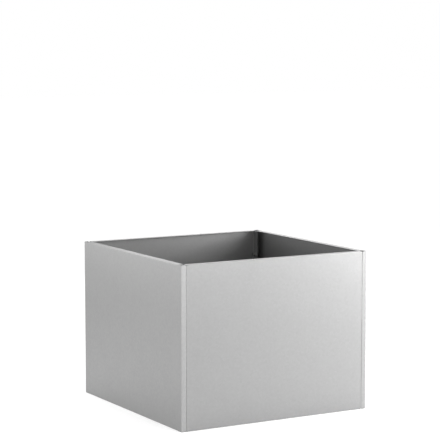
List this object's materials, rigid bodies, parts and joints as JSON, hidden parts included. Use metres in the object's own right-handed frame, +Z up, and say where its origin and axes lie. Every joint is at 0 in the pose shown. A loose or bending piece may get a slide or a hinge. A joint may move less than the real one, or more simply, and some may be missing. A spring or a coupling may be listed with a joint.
{
  "type": "galvanized steel planter",
  "caption": "Square open-topped planter of folded galvanized sheet, bolted together from inside, with inward rims, corner strips and a raised base tray with drain holes.",
  "frame": {"origin": "middle of the footprint, on the floor", "axes": "+Z up out of the open top; -Y is the front face, the one between the corner strips that the picture shows at the right; -X is the left side"},
  "size_m": [0.6, 0.6, 0.455],
  "materials": {
    "panel_sheet": "smooth hot-dip galvanized, satin",
    "base_sheet": "hot-dip galvanized, satin",
    "fasteners": "zinc plated, semi-bright",
    "rivets": "plain drawn, semi-bright"
  },
  "bodies": {
    "root": {"front_panel": "panel_sheet", "back_panel": "panel_sheet", "left_panel": "panel_sheet", "right_panel": "panel_sheet", "base_tray": "base_sheet", "base_rib_front": "base_sheet", "base_rib_rear": "base_sheet", "bolts_front_left": "fasteners", "washers_front_left": "fasteners", "nuts_front_left": "fasteners", "bolts_front_right": "fasteners", "washers_front_right": "fasteners", "nuts_front_right": "fasteners", "bolts_back_left": "fasteners", "washers_back_left": "fasteners", "nuts_back_left": "fasteners", "bolts_back_right": "fasteners", "washers_back_right": "fasteners", "nuts_back_right": "fasteners", "base_rivets": "rivets"}
  },
  "joints": []
}
